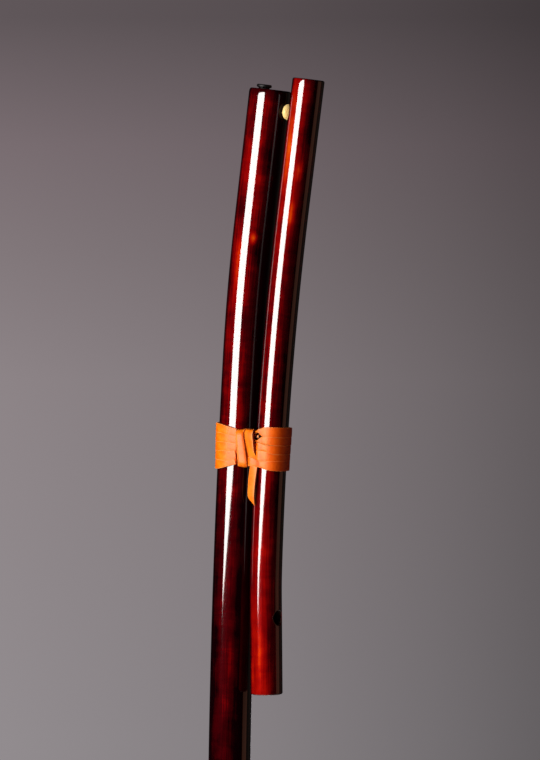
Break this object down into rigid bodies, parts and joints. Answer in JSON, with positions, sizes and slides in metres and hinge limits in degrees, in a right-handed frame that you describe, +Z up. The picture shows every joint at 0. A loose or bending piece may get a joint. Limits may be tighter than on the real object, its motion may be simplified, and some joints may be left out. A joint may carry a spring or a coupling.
{
  "type": "overtone flute",
  "caption": "Tall bent bass overtone flute in red lacquered wood, with a shorter air tube lashed beside it by a leather lace and a small black stopper on top.",
  "frame": {"origin": "centre of the speaking tube's open foot", "axes": "+Z up the straight lower part of the speaking tube, +X from the speaking tube towards the air tube, which is the player's side, so the bend lies in the XZ plane"},
  "size_m": [0.134, 0.0496, 1.6573],
  "materials": {
    "red_lacquered_wood": "high-gloss red lacquer over figured wood",
    "bare_maple": "smooth unlacquered",
    "pale_boxwood": "turned and oiled",
    "cork": "sanded and greased",
    "black_rubber": "semi-matt",
    "tan_leather": "smooth vegetable tan"
  },
  "bodies": {
    "flute": {"main_tube_left": "red_lacquered_wood", "main_tube_right": "red_lacquered_wood", "head_plug": "red_lacquered_wood", "fipple_block": "bare_maple", "wind_spigot": "pale_boxwood", "spigot_seal": "cork", "air_tube_left": "red_lacquered_wood", "air_tube_right": "red_lacquered_wood", "air_tube_top_plug": "red_lacquered_wood", "air_tube_foot_plug": "red_lacquered_wood", "lace_wrap": "tan_leather", "lace_frapping": "tan_leather", "lace_tail": "tan_leather"},
    "stopper": {"stopper": "black_rubber"}
  },
  "joints": [
    {"name": "stopper_pull", "type": "slide", "parent": "flute", "child": "stopper", "axis": [0.1397, 0, 0.9902], "range_m": [0, 0.012]}
  ]
}
